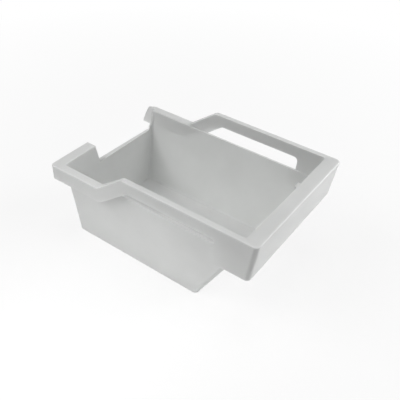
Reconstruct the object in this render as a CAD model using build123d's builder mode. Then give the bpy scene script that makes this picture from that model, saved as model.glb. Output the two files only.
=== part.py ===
"""Freezer ice bin: one moulded tub with a stepped rim, a skirt, two hand openings and a front apron."""
import os
from math import atan2, cos, radians, tan

from build123d import *

# Overall sizes, mm. +X is the front, +Z is up, the floor stands on Z = 0.
LENGTH = 370.0
WIDTH = 240.0
REAR_RIM_HEIGHT = 143.0
RIM_RISE = 38.0

# Walls
WALL = 3.0
FLOOR = 3.0
SKIRT_WALL = 2.5

# Rim, measured from the outer edge to the inside of the tub
SIDE_RIM = 14.0
REAR_RIM = 18.2
FRONT_RIM = 21.9
RIM_EDGE = 1.2
RIM_INNER_EDGE = 0.6

# Slope of the tub's walls, degrees from upright
SIDE_DRAFT = 6.8
REAR_DRAFT = 0.5
FRONT_SLOPE = 28.4
FRONT_THROAT = 17.5
FRONT_BEND = 12.0
TUB_CORNER = 5.0
FLOOR_EDGE = 3.0

# Step of the rim, measured from the rear edge
RAMP_START = 97.2
RAMP_RUN = 50.0
RAMP_FOOT_RADIUS = 8.0
RAMP_HEAD_RADIUS = 10.0

# Skirt and front apron
SKIRT_DROP = 25.0
RAISED_DROP = 20.0
SKIRT_LAG = 3.2
APRON_LEAN = 7.5
APRON_CORNER = 7.0
APRON_LIP = 7.0
WING_LENGTH = 64.5
WING_CORNER = 3.0
REAR_CORNER = 6.0
REAR_FAR_CORNER = 18.0

# Hand openings in the two side walls, under the raised rim
HAND_HEIGHT = 21.0
HAND_DIP = 1.0
HAND_SETBACK = 39.0
HAND_CORNER = 7.0
HAND_CLEARANCE = 2.0
LEDGE = 1.0

# Notch in the rear wall
NOTCH_DEPTH = 35.0
NOTCH_NEAR = 80.0
NOTCH_FAR = 7.0
NOTCH_NEAR_SLANT = 7.0
NOTCH_FAR_SLANT = 18.0
NOTCH_CORNER = 3.0
NOTCH_OVERCUT = 0.5
NOTCH_LIP_NEAR = 5.5
NOTCH_LIP_FAR = 1.5

# Catch on the inside of the front rim
CATCH_LENGTH = 12.0
CATCH_REACH = 4.5
CATCH_HEIGHT = 6.0
CATCH_OFFSET = 28.0
CATCH_BELOW_RIM = 2.0

# Places worked out from the sizes
REAR = -LENGTH / 2
FRONT = LENGTH / 2
SIDE = WIDTH / 2
LOW = REAR_RIM_HEIGHT
TOP = REAR_RIM_HEIGHT + RIM_RISE
RAMP_FOOT = REAR + RAMP_START
RAMP_HEAD = RAMP_FOOT + RAMP_RUN
RAMP_ANGLE = atan2(RIM_RISE, RAMP_RUN)
RAMP_SHIFT = WALL * tan(RAMP_ANGLE / 2)
APRON_FOOT = LOW - SKIRT_DROP
RAISED_FOOT = TOP - RAISED_DROP
SKIRT_RAMP_FOOT = RAMP_FOOT + SKIRT_LAG
SKIRT_RAMP_HEAD = SKIRT_RAMP_FOOT + (RAISED_FOOT - APRON_FOOT) / tan(RAMP_ANGLE)
WING_REAR = FRONT - WING_LENGTH
LEDGE_HEIGHT = LOW - HAND_DIP
LIP_REAR = WING_REAR + APRON_LIP
BELOW = APRON_FOOT - SKIRT_DROP
ABOVE = TOP + RIM_RISE
THROAT_FOOT = TOP - FRONT_THROAT
THROAT_SHIFT = WALL * tan(radians(FRONT_SLOPE) / 2)
FRONT_WALL = WALL / cos(radians(FRONT_SLOPE))


def inner_side(z):
    """Half width of the tub's inside at height z."""
    return SIDE - SIDE_RIM - (LOW - z) * tan(radians(SIDE_DRAFT))


def inner_rear(z):
    """X of the rear wall's inner face at height z."""
    return REAR + REAR_RIM + (LOW - z) * tan(radians(REAR_DRAFT))


def inner_front(z):
    """X of the front wall's inner face at height z: a slope, then an upright throat."""
    return FRONT - FRONT_RIM - max(0, THROAT_FOOT - z) * tan(radians(FRONT_SLOPE))


def rim_height(x):
    """Height of the rim's upper face at x, up the ramp."""
    return LOW + RIM_RISE * min(1, max(0, (x - RAMP_FOOT) / RAMP_RUN))


def nearest(shapes, x, y, z=0.0):
    """The shape of the list whose centre lies nearest to a point."""
    return shapes.sort_by(lambda s: (s.center() - Vector(x, y, z)).length)[0]


# Notch, as a block that runs through the rear wall and rim
NOTCH_FLOOR = LOW - NOTCH_DEPTH
NEAR_TOP = -SIDE + NOTCH_NEAR
FAR_TOP = SIDE - NOTCH_FAR
NOTCH_END = inner_rear(NOTCH_FLOOR) + NOTCH_OVERCUT

with BuildPart() as notch:
    with BuildSketch(Plane.YZ.offset(REAR - WALL)) as notch_face:
        with BuildLine():
            Polyline(
                (NEAR_TOP, ABOVE),
                (NEAR_TOP, LOW),
                (NEAR_TOP + NOTCH_NEAR_SLANT, NOTCH_FLOOR),
                (FAR_TOP - NOTCH_FAR_SLANT, NOTCH_FLOOR),
                (FAR_TOP, LOW),
                (FAR_TOP, ABOVE),
                close=True,
            )
        make_face()
        fillet(notch_face.vertices().group_by(Axis.Y)[0], NOTCH_CORNER)
    extrude(amount=NOTCH_END - REAR + WALL)

# The same block with a wall's thickness round it, which closes the rim beside the notch
with BuildPart() as notch_jacket:
    with BuildSketch(Plane.YZ.offset(REAR - WALL)):
        with BuildLine():
            Polyline(
                (NEAR_TOP - WALL, ABOVE),
                (NEAR_TOP - WALL, LOW),
                (NEAR_TOP + NOTCH_NEAR_SLANT - WALL, NOTCH_FLOOR),
                (FAR_TOP - NOTCH_FAR_SLANT + WALL, NOTCH_FLOOR),
                (FAR_TOP + WALL, LOW),
                (FAR_TOP + WALL, ABOVE),
                close=True,
            )
        make_face()
    extrude(amount=NOTCH_END - REAR + WALL)

# Hollow under the rim, behind the skirt and the apron
with BuildPart() as hollow:
    with BuildSketch(Plane.XZ) as hollow_side:
        with BuildLine():
            Polyline(
                (REAR + SKIRT_WALL, LOW - WALL),
                (RAMP_FOOT + RAMP_SHIFT, LOW - WALL),
                (RAMP_HEAD + RAMP_SHIFT, TOP - WALL),
                (FRONT - WALL, TOP - WALL),
                (FRONT - APRON_LEAN - WALL, APRON_FOOT + WALL),
                (LIP_REAR, APRON_FOOT + WALL),
                (LIP_REAR, BELOW),
                (REAR + SKIRT_WALL, BELOW),
                close=True,
            )
        make_face()
        fillet(nearest(hollow_side.vertices(), RAMP_FOOT + RAMP_SHIFT, LOW - WALL), RAMP_FOOT_RADIUS + WALL)
        fillet(nearest(hollow_side.vertices(), RAMP_HEAD + RAMP_SHIFT, TOP - WALL), RAMP_HEAD_RADIUS - WALL)
    extrude(amount=SIDE - SKIRT_WALL, both=True)
    rear_uprights = hollow.edges().filter_by(Axis.Z).group_by(Axis.X)[0].sort_by(Axis.Y)
    fillet(rear_uprights[0], REAR_CORNER - SKIRT_WALL)
    fillet(rear_uprights[-1], REAR_FAR_CORNER - SKIRT_WALL)
    front_edges = hollow.edges().filter_by(lambda e: e.center().X > FRONT - APRON_LEAN - WALL)
    fillet(front_edges.filter_by(lambda e: abs(e.tangent_at(0.5).Z) > 0.5), APRON_CORNER - SKIRT_WALL)
    add(notch_jacket.part, mode=Mode.SUBTRACT)

# Tub, outside: its side profile crossed with its end profile
with BuildPart() as tub:
    with BuildSketch(Plane.XZ) as tub_side:
        with BuildLine():
            Polyline(
                (inner_rear(0) - WALL, 0),
                (inner_front(0) + FRONT_WALL, 0),
                (inner_front(TOP) + WALL, THROAT_FOOT - THROAT_SHIFT),
                (inner_front(TOP) + WALL, ABOVE),
                (inner_rear(ABOVE) - WALL, ABOVE),
                close=True,
            )
        make_face()
        fillet(nearest(tub_side.vertices(), FRONT, THROAT_FOOT), FRONT_BEND + WALL)
    extrude(amount=WIDTH, both=True)
    with BuildSketch(Plane.YZ):
        with BuildLine():
            Polyline(
                (-inner_side(0) - WALL, 0),
                (inner_side(0) + WALL, 0),
                (inner_side(ABOVE) + WALL, ABOVE),
                (-inner_side(ABOVE) - WALL, ABOVE),
                close=True,
            )
        make_face()
    extrude(amount=LENGTH, both=True, mode=Mode.INTERSECT)
    fillet(tub.edges().filter_by(lambda e: abs(e.tangent_at(0.5).Z) > 0.5), TUB_CORNER + WALL)
    fillet(tub.faces().sort_by(Axis.Z)[0].edges(), FLOOR_EDGE)
    # It ends half way through the rim's thickness
    with BuildSketch(Plane.XZ):
        with BuildLine():
            Polyline(
                (REAR - WALL, LOW - WALL / 2),
                (RAMP_FOOT + RAMP_SHIFT / 2, LOW - WALL / 2),
                (RAMP_HEAD + RAMP_SHIFT / 2, TOP - WALL / 2),
                (FRONT + RIM_RISE, TOP - WALL / 2),
                (FRONT + RIM_RISE, ABOVE),
                (REAR - WALL, ABOVE),
                close=True,
            )
        make_face()
    extrude(amount=WIDTH, both=True, mode=Mode.SUBTRACT)

# Inside of the tub, made the same way
with BuildPart() as cavity:
    with BuildSketch(Plane.XZ) as cavity_side:
        with BuildLine():
            Polyline(
                (inner_rear(FLOOR), FLOOR),
                (inner_front(FLOOR), FLOOR),
                (inner_front(TOP), THROAT_FOOT),
                (inner_front(TOP), ABOVE),
                (inner_rear(ABOVE), ABOVE),
                close=True,
            )
        make_face()
        fillet(nearest(cavity_side.vertices(), FRONT, THROAT_FOOT), FRONT_BEND)
    extrude(amount=WIDTH, both=True)
    with BuildSketch(Plane.YZ):
        with BuildLine():
            Polyline(
                (-inner_side(FLOOR), FLOOR),
                (inner_side(FLOOR), FLOOR),
                (inner_side(ABOVE), ABOVE),
                (-inner_side(ABOVE), ABOVE),
                close=True,
            )
        make_face()
    extrude(amount=LENGTH, both=True, mode=Mode.INTERSECT)
    fillet(cavity.edges().filter_by(lambda e: abs(e.tangent_at(0.5).Z) > 0.5), TUB_CORNER)
    fillet(cavity.faces().sort_by(Axis.Z)[0].edges(), FLOOR_EDGE)

# Mouth of the tub, wider than the rest, which leaves a ledge level with the foot of the hand openings
with BuildPart() as mouth:
    with BuildSketch(Plane.XZ) as mouth_side:
        with BuildLine():
            Polyline(
                (inner_rear(LEDGE_HEIGHT), LEDGE_HEIGHT),
                (inner_front(LEDGE_HEIGHT), LEDGE_HEIGHT),
                (inner_front(TOP), THROAT_FOOT),
                (inner_front(TOP), ABOVE),
                (inner_rear(ABOVE), ABOVE),
                close=True,
            )
        make_face()
        fillet(nearest(mouth_side.vertices(), FRONT, THROAT_FOOT), FRONT_BEND)
    extrude(amount=WIDTH, both=True)
    with BuildSketch(Plane.YZ):
        with BuildLine():
            Polyline(
                (-inner_side(LEDGE_HEIGHT) - LEDGE, LEDGE_HEIGHT),
                (inner_side(LEDGE_HEIGHT) + LEDGE, LEDGE_HEIGHT),
                (inner_side(ABOVE) + LEDGE, ABOVE),
                (-inner_side(ABOVE) - LEDGE, ABOVE),
                close=True,
            )
        make_face()
    extrude(amount=LENGTH, both=True, mode=Mode.INTERSECT)
    fillet(mouth.edges().filter_by(lambda e: abs(e.tangent_at(0.5).Z) > 0.5), TUB_CORNER)

with BuildPart() as ice_bin:
    # Rim, skirt and apron as one stepped block
    with BuildSketch(Plane.XZ) as rim_side:
        with BuildLine():
            Polyline(
                (REAR, LOW),
                (RAMP_FOOT, LOW),
                (RAMP_HEAD, TOP),
                (FRONT, TOP),
                (FRONT - APRON_LEAN, APRON_FOOT),
                (WING_REAR, APRON_FOOT),
                (WING_REAR, RAISED_FOOT),
                (SKIRT_RAMP_HEAD, RAISED_FOOT),
                (SKIRT_RAMP_FOOT, APRON_FOOT),
                (REAR, APRON_FOOT),
                close=True,
            )
        make_face()
        fillet(nearest(rim_side.vertices(), RAMP_FOOT, LOW), RAMP_FOOT_RADIUS)
        fillet(nearest(rim_side.vertices(), RAMP_HEAD, TOP), RAMP_HEAD_RADIUS)
        fillet(nearest(rim_side.vertices(), SKIRT_RAMP_HEAD, RAISED_FOOT), RAMP_HEAD_RADIUS)
        fillet(nearest(rim_side.vertices(), SKIRT_RAMP_FOOT, APRON_FOOT), RAMP_FOOT_RADIUS)
        fillet(nearest(rim_side.vertices(), WING_REAR, APRON_FOOT), WING_CORNER)
        fillet(nearest(rim_side.vertices(), WING_REAR, RAISED_FOOT), WING_CORNER)
    extrude(amount=SIDE, both=True)
    rear_uprights = ice_bin.edges().filter_by(Axis.Z).group_by(Axis.X)[0].sort_by(Axis.Y)
    fillet(rear_uprights[0], REAR_CORNER)
    fillet(rear_uprights[-1], REAR_FAR_CORNER)
    front_edges = ice_bin.edges().filter_by(lambda e: e.center().X > FRONT - APRON_LEAN - WALL)
    fillet(front_edges.filter_by(lambda e: abs(e.tangent_at(0.5).Z) > 0.5), APRON_CORNER)
    upper_edges = ice_bin.edges().filter_by(
        lambda e: e.center().Z > rim_height(e.center().X) - RAISED_DROP / 4
    )
    fillet(
        upper_edges.filter_by(
            lambda e: max(abs(e.center().Y) - SIDE, e.center().X - FRONT, REAR - e.center().X) > -SIDE_RIM / 2
        ),
        RIM_EDGE,
    )
    add(hollow.part, mode=Mode.SUBTRACT)

    # Finger room behind the apron's lip
    with BuildSketch(Plane.XY.offset(APRON_FOOT - WALL)):
        with BuildLine():
            Polyline(
                (WING_REAR - WALL, SIDE - APRON_LIP),
                (FRONT - APRON_LEAN - APRON_LIP, SIDE - APRON_LIP),
                (FRONT - APRON_LEAN - APRON_LIP, -SIDE + APRON_LIP),
                (WING_REAR - WALL, -SIDE + APRON_LIP),
                close=True,
            )
        make_face()
    extrude(amount=3 * WALL, mode=Mode.SUBTRACT)

    # Tub, opened at the top
    add(tub.part)
    add(cavity.part, mode=Mode.SUBTRACT)
    add(mouth.part, mode=Mode.SUBTRACT)
    mouth_edges = ice_bin.edges().filter_by(
        lambda e: e.center().Z > max(rim_height(e.center().X) - WALL / 2, LEDGE_HEIGHT + HAND_DIP / 2)
    )
    fillet(
        mouth_edges.filter_by(
            lambda e: max(abs(e.center().Y) - SIDE, e.center().X - FRONT, REAR - e.center().X) < -SIDE_RIM / 2
        ),
        RIM_INNER_EDGE,
    )
    add(notch.part, mode=Mode.SUBTRACT)

    # Lip along the foot of the notch, outside the rear wall
    with BuildSketch(Plane.XY.offset(NOTCH_FLOOR - WALL)):
        with BuildLine():
            Polyline(
                (inner_rear(NOTCH_FLOOR) - WALL - NOTCH_LIP_NEAR, NEAR_TOP + NOTCH_NEAR_SLANT),
                (inner_rear(NOTCH_FLOOR) - WALL / 2, NEAR_TOP + NOTCH_NEAR_SLANT),
                (inner_rear(NOTCH_FLOOR) - WALL / 2, FAR_TOP - NOTCH_FAR_SLANT),
                (inner_rear(NOTCH_FLOOR) - WALL - NOTCH_LIP_FAR, FAR_TOP - NOTCH_FAR_SLANT),
                close=True,
            )
        make_face()
    extrude(amount=WALL)

    # Hand openings through both side walls, behind the skirt
    with BuildSketch(Plane.XZ) as hand_side:
        with BuildLine():
            Polyline(
                (RAMP_FOOT + HAND_SETBACK, LEDGE_HEIGHT),
                (WING_REAR, LEDGE_HEIGHT),
                (WING_REAR, LEDGE_HEIGHT + HAND_HEIGHT),
                (RAMP_FOOT + HAND_SETBACK + HAND_HEIGHT / tan(RAMP_ANGLE), LEDGE_HEIGHT + HAND_HEIGHT),
                close=True,
            )
        make_face()
        fillet(hand_side.vertices().group_by(Axis.Y)[-1], HAND_CORNER)
    extrude(amount=SIDE - SKIRT_WALL - HAND_CLEARANCE, both=True, mode=Mode.SUBTRACT)

    # Catch on the inside of the front rim
    CATCH_TOP = TOP - CATCH_BELOW_RIM
    CATCH_X = inner_front(CATCH_TOP)
    with BuildSketch(Plane.XZ.offset(-CATCH_OFFSET)):
        with BuildLine():
            Polyline(
                (CATCH_X - CATCH_REACH, CATCH_TOP),
                (CATCH_X + WALL / 2, CATCH_TOP),
                (inner_front(CATCH_TOP - CATCH_HEIGHT) + WALL / 2, CATCH_TOP - CATCH_HEIGHT),
                (CATCH_X - CATCH_REACH, CATCH_TOP - CATCH_HEIGHT / 2),
                close=True,
            )
        make_face()
    extrude(amount=CATCH_LENGTH / 2, both=True)

ice_bin.part.label = "ice_bin"
os.makedirs("parts", exist_ok=True)
export_step(ice_bin.part, "parts/ice_bin.step")
print(ice_bin.part.bounding_box(), len(ice_bin.part.solids()), round(ice_bin.part.volume))
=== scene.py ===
"""Freezer ice bin: the moulded bin in pale grey plastic, on a white studio floor."""
from math import cos, radians, sin

import bmesh
import bpy
from mathutils import Matrix, Vector


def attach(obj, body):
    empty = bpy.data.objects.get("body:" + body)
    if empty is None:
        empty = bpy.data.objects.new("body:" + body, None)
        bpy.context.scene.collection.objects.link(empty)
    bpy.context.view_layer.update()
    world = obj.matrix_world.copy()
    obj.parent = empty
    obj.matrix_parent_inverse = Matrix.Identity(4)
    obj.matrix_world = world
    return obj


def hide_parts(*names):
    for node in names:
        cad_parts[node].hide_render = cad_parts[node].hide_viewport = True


MM = 0.001
WHITE = (1, 1, 1, 1)

# Camera, found from the photograph's edges, in the bin's own frame
CAMERA_PLACE = (0.3969, -0.5647, 0.6528)
CAMERA_RIGHT = (0.8112, 0.5837, 0.0364)
CAMERA_UP = (-0.3925, 0.4973, 0.7737)
FOCAL_PIXELS = 557.622
PHOTO_PIXELS = 400
SENSOR = 36.0
LENS = FOCAL_PIXELS / PHOTO_PIXELS * SENSOR

# Moulding: faces that meet at less than this angle are shaded as one surface
SMOOTH_ANGLE = radians(28)
WELD = 0.002 * MM

# Plastic: colours and depth of the melt, and the sizes of its marks
PLASTIC_PALE = "#dddedd"
PLASTIC_DEEP = "#d8d9d8"
POLYPROPYLENE_IOR = 1.49
SCATTER_DEPTH = 6 * MM
CLOUD_SIZE = 70 * MM
CLOUD_DETAIL = 3.0
CLOUD_RANGE = (0.32, 0.68)
GRAIN_SIZE = 1.6 * MM
GRAIN_HEIGHT = 0.06 * MM
GRAIN_STRENGTH = 0.12
DRAW_WIDTH = 2.5 * MM
DRAW_LENGTH = 90 * MM
DRAW_SHARE = 0.45
SKIN_DETAIL = 2.0
SKIN_ROUGHNESS = (0.34, 0.54)

# Sockets of the Mix node that share their names, by place
MIX_NUMBER_A = 2
MIX_NUMBER_B = 3
MIX_COLOUR_A = 6
MIX_COLOUR_B = 7
MIX_COLOUR_OUT = 2

# Paper floor: partly glowing near the bin, fading to pure white between the two reaches
FLOOR_WHITE = "#fafafa"
FLOOR_REACH = 3.0
FLOOR_DROP = 0.3 * MM
FLOOR_GLOW = 0.82
SHADOW_REACH = 0.35
WHITE_REACH = 1.1

# Light: soft boxes round the bin, given by azimuth from +X, height angle, size and watts
ROOM_FILL = 0.02
BOX_DISTANCE = 2.2
BOX_TARGET = (0.0, 0.0, 0.08)
SOFT_BOXES = {
    "left_box": (230, 45, 1.2, 24.0),
    "right_box": (20, 44, 1.1, 14.0),
    "top_box": (0, 88, 0.8, 8.5),
    "edge_box": (51, 10, 0.9, 26.0),
}

# A small box over the paper beside the bin, whose bounce lifts the near wall
PAPER_BOX_PLACE = (-0.02, -0.62, 0.30)
PAPER_BOX_TARGET = (-0.02, -0.36, 0.0)
PAPER_BOX_SIZE = 0.3
PAPER_BOX_SPREAD = radians(60)
PAPER_BOX_WATTS = 0.22


def linear(hex_colour):
    """An sRGB hex colour as linear RGBA."""
    parts = [int(hex_colour[i:i + 2], 16) / 255 for i in (1, 3, 5)]
    return [c / 12.92 if c <= 0.04045 else ((c + 0.055) / 1.055) ** 2.4 for c in parts] + [1.0]


def node(tree, kind, links=(), **settings):
    """A shader node; a setting that is no property of the node sets the input of that name."""
    made = tree.nodes.new(kind)
    for name, value in settings.items():
        if hasattr(made, name):
            setattr(made, name, value)
        else:
            made.inputs[name.replace("_", " ")].default_value = value
    for source, output, target in links:
        tree.links.new(source.outputs[output], made.inputs[target])
    return made


def blank_tree(holder):
    """The emptied node tree of a material or world."""
    holder.use_nodes = True
    holder.node_tree.nodes.clear()
    return holder.node_tree


def moulded_polypropylene():
    """Injection-moulded polypropylene: pale, satin and milky, so that light spreads in its walls."""
    material = bpy.data.materials.new("moulded_polypropylene_pale_grey")
    tree = blank_tree(material)
    place = node(tree, "ShaderNodeTexCoord")
    # Clouding of the melt: a tone or two, over some 70 mm
    cloud = node(
        tree,
        "ShaderNodeTexNoise",
        [(place, "Object", "Vector")],
        Scale=1 / CLOUD_SIZE,
        Detail=CLOUD_DETAIL,
    )
    tone = node(
        tree,
        "ShaderNodeMapRange",
        [(cloud, "Fac", "Value")],
        From_Min=CLOUD_RANGE[0],
        From_Max=CLOUD_RANGE[1],
    )
    colour = node(tree, "ShaderNodeMix", [(tone, "Result", "Factor")], data_type="RGBA")
    colour.inputs[MIX_COLOUR_A].default_value = linear(PLASTIC_DEEP)
    colour.inputs[MIX_COLOUR_B].default_value = linear(PLASTIC_PALE)
    # Grain of the tool's surface, coarser than the real 0.1 mm so that it shows
    grain = node(
        tree,
        "ShaderNodeTexNoise",
        [(place, "Object", "Vector")],
        Scale=1 / GRAIN_SIZE,
        Detail=SKIN_DETAIL,
    )
    # Draw marks up the walls, where the part slid off the core
    stretch = node(
        tree,
        "ShaderNodeMapping",
        [(place, "Object", "Vector")],
        Scale=(1 / DRAW_WIDTH, 1 / DRAW_WIDTH, 1 / DRAW_LENGTH),
    )
    draw = node(
        tree,
        "ShaderNodeTexNoise",
        [(stretch, "Vector", "Vector")],
        Scale=1.0,
        Detail=SKIN_DETAIL,
    )
    marks = node(
        tree,
        "ShaderNodeMix",
        [(grain, "Fac", MIX_NUMBER_A), (draw, "Fac", MIX_NUMBER_B)],
        data_type="FLOAT",
        Factor=DRAW_SHARE,
    )
    rough = node(
        tree,
        "ShaderNodeMapRange",
        [(marks, "Result", "Value")],
        To_Min=SKIN_ROUGHNESS[0],
        To_Max=SKIN_ROUGHNESS[1],
    )
    bump = node(
        tree,
        "ShaderNodeBump",
        [(grain, "Fac", "Height")],
        Strength=GRAIN_STRENGTH,
        Distance=GRAIN_HEIGHT,
    )
    skin = node(
        tree,
        "ShaderNodeBsdfPrincipled",
        [
            (colour, MIX_COLOUR_OUT, "Base Color"),
            (rough, "Result", "Roughness"),
            (bump, "Normal", "Normal"),
        ],
        IOR=POLYPROPYLENE_IOR,
        Subsurface_Weight=1.0,
        Subsurface_Scale=SCATTER_DEPTH,
        Subsurface_Radius=(1.0, 1.0, 1.0),
    )
    node(tree, "ShaderNodeOutputMaterial", [(skin, "BSDF", "Surface")])
    return material


def background_ray(tree):
    """1 for the rays that show the background: the camera's, and those through gloss or glass."""
    path = node(tree, "ShaderNodeLightPath")
    gloss = node(
        tree,
        "ShaderNodeMath",
        [(path, "Is Camera Ray", 0), (path, "Is Glossy Ray", 1)],
        operation="MAXIMUM",
    )
    return node(
        tree,
        "ShaderNodeMath",
        [(gloss, "Value", 0), (path, "Is Transmission Ray", 1)],
        operation="MAXIMUM",
    )


def background_paper():
    """Matt white paper: near white to the eye, with the bin's soft shadow kept close by."""
    material = bpy.data.materials.new("white_background_paper")
    tree = blank_tree(material)
    paper = node(tree, "ShaderNodeBsdfDiffuse", Color=linear(FLOOR_WHITE))
    glow = node(tree, "ShaderNodeEmission", Color=WHITE, Strength=1.0)
    seen = background_ray(tree)
    place = node(tree, "ShaderNodeTexCoord")
    distance = node(tree, "ShaderNodeVectorMath", [(place, "Object", 0)], operation="LENGTH")
    white = node(
        tree,
        "ShaderNodeMapRange",
        [(distance, "Value", "Value")],
        From_Min=SHADOW_REACH,
        From_Max=WHITE_REACH,
        To_Min=FLOOR_GLOW,
        To_Max=1.0,
    )
    share = node(
        tree,
        "ShaderNodeMath",
        [(seen, "Value", 0), (white, "Result", 1)],
        operation="MULTIPLY",
    )
    mix = node(
        tree,
        "ShaderNodeMixShader",
        [(share, "Value", 0), (paper, "BSDF", 1), (glow, "Emission", 2)],
    )
    node(tree, "ShaderNodeOutputMaterial", [(mix, "Shader", "Surface")])
    return material


def moulding(cad):
    """The bin's one moulding: the solid's faces welded, and shaded apart at sharp edges."""
    mesh = bpy.data.meshes.new("ice_bin_moulding")
    work = bmesh.new()
    work.from_mesh(cad.data)
    bmesh.ops.remove_doubles(work, verts=work.verts, dist=WELD)
    bmesh.ops.dissolve_degenerate(work, edges=work.edges, dist=WELD)
    bmesh.ops.recalc_face_normals(work, faces=work.faces)
    for face in work.faces:
        face.smooth = True
    for edge in work.edges:
        edge.smooth = edge.is_manifold and edge.calc_face_angle(0.0) < SMOOTH_ANGLE
    work.to_mesh(mesh)
    work.free()
    piece = bpy.data.objects.new("ice_bin_moulding", mesh)
    bpy.context.scene.collection.objects.link(piece)
    return piece


def add_floor():
    """A wide sheet of paper under the bin."""
    bpy.ops.mesh.primitive_plane_add(size=2 * FLOOR_REACH, location=(0, 0, -FLOOR_DROP))
    floor = bpy.context.object
    floor.name = "floor_paper"
    floor.data.materials.append(background_paper())


def add_soft_box(name, place, target, size, watts):
    """A square soft box at a place, turned to a target."""
    lamp = bpy.data.lights.new(name, "AREA")
    lamp.shape = "SQUARE"
    lamp.size = size
    lamp.energy = watts
    box = bpy.data.objects.new(name, lamp)
    box.location = place
    box.visible_camera = False
    box.rotation_euler = (Vector(target) - Vector(place)).to_track_quat("-Z", "Y").to_euler()
    bpy.context.scene.collection.objects.link(box)
    return lamp


def add_soft_boxes():
    """The boxes round the bin, all at one distance, and the small one over the paper."""
    for name, (azimuth, height, size, watts) in SOFT_BOXES.items():
        flat = BOX_DISTANCE * cos(radians(height))
        reach = Vector((
            flat * cos(radians(azimuth)),
            flat * sin(radians(azimuth)),
            BOX_DISTANCE * sin(radians(height)),
        ))
        add_soft_box(name, Vector(BOX_TARGET) + reach, BOX_TARGET, size, watts)
    paper_lamp = add_soft_box(
        "paper_box",
        PAPER_BOX_PLACE,
        PAPER_BOX_TARGET,
        PAPER_BOX_SIZE,
        PAPER_BOX_WATTS,
    )
    paper_lamp.spread = PAPER_BOX_SPREAD


def add_room():
    """White surroundings to the eye, which light the bin only faintly."""
    world = bpy.data.worlds.new("white_room")
    bpy.context.scene.world = world
    tree = blank_tree(world)
    seen = background_ray(tree)
    strength = node(
        tree,
        "ShaderNodeMapRange",
        [(seen, "Value", "Value")],
        To_Min=ROOM_FILL,
        To_Max=1.0,
    )
    room = node(tree, "ShaderNodeBackground", [(strength, "Result", "Strength")], Color=WHITE)
    node(tree, "ShaderNodeOutputWorld", [(room, "Background", "Surface")])


def add_camera():
    """The photograph's camera."""
    data = bpy.data.cameras.new("photo_camera")
    data.sensor_width = SENSOR
    data.lens = LENS
    camera = bpy.data.objects.new("photo_camera", data)
    right = Vector(CAMERA_RIGHT).normalized()
    back = right.cross(Vector(CAMERA_UP)).normalized()
    up = back.cross(right)
    turn = Matrix((right, up, back)).transposed().to_4x4()
    camera.matrix_world = Matrix.Translation(CAMERA_PLACE) @ turn
    bpy.context.scene.collection.objects.link(camera)
    bpy.context.scene.camera = camera


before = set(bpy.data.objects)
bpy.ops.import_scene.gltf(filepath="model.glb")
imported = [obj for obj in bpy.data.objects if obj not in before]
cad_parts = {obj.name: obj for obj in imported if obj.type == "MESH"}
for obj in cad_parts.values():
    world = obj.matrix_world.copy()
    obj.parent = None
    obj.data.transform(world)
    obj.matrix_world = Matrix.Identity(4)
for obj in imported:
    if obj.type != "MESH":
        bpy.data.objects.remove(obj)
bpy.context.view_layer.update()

bin_piece = moulding(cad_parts["ice_bin"])
bin_piece.data.materials.append(moulded_polypropylene())
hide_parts("ice_bin")
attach(bin_piece, "root")

add_floor()
add_room()
add_soft_boxes()
add_camera()
bpy.context.scene.view_settings.view_transform = "Standard"
